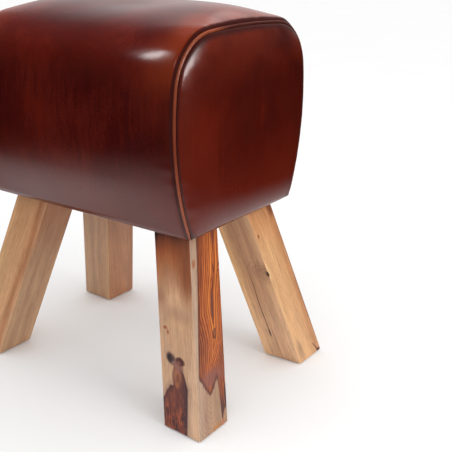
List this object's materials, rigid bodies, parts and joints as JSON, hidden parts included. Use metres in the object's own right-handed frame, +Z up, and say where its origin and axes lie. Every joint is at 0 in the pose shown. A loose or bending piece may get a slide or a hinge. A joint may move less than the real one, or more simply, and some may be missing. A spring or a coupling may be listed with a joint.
{
  "type": "pommel horse stool",
  "caption": "Leather-covered gym-horse stool: a padded, piped loaf-shaped body standing on splayed square hardwood legs, used as a seat or footrest.",
  "frame": {"origin": "on the floor, under the middle of the stool", "axes": "+Z up, +X along the body's long side towards its right end, -Y towards the front side"},
  "size_m": [0.4252, 0.297, 0.5],
  "materials": {
    "leg_hardwood": "clear satin lacquer over two-tone hardwood",
    "body_leather": "glazed, deep red-brown",
    "welt_leather": "glazed, red-brown, wrinkled along the bend",
    "softwood": "planed pine",
    "plywood": "raw plywood",
    "dowel_wood": "fluted beech",
    "zinc_steel": "bright zinc plate",
    "foam": "open-cell foam",
    "welt_cord": "twisted paper cord",
    "cover_cloth": "black non-woven cloth",
    "felt": "pressed brown felt"
  },
  "bodies": {
    "root": {"centre_former": "plywood", "cover_staples": "zinc_steel", "deck": "plywood", "deck_screws": "zinc_steel", "dust_cover": "cover_cloth", "end_former_left": "plywood", "end_former_right": "plywood", "felt_pads": "felt", "foam_end_left": "foam", "foam_end_right": "foam", "foam_side_back": "foam", "foam_side_front": "foam", "foam_top": "foam", "frame_screws": "zinc_steel", "hem_staples": "zinc_steel", "leather_end_left": "body_leather", "leather_end_right": "body_leather", "leather_wrap": "body_leather", "leg_back_left": "leg_hardwood", "leg_back_right": "leg_hardwood", "leg_beam_left": "softwood", "leg_beam_right": "softwood", "leg_bolts": "zinc_steel", "leg_dowels": "dowel_wood", "leg_front_left": "leg_hardwood", "leg_front_right": "leg_hardwood", "leg_nuts": "zinc_steel", "leg_washers": "zinc_steel", "side_board_back": "plywood", "side_board_front": "plywood", "side_rail_back": "softwood", "side_rail_front": "softwood", "welt_cord_left": "welt_cord", "welt_cord_right": "welt_cord", "welt_left": "welt_leather", "welt_right": "welt_leather"}
  },
  "joints": []
}
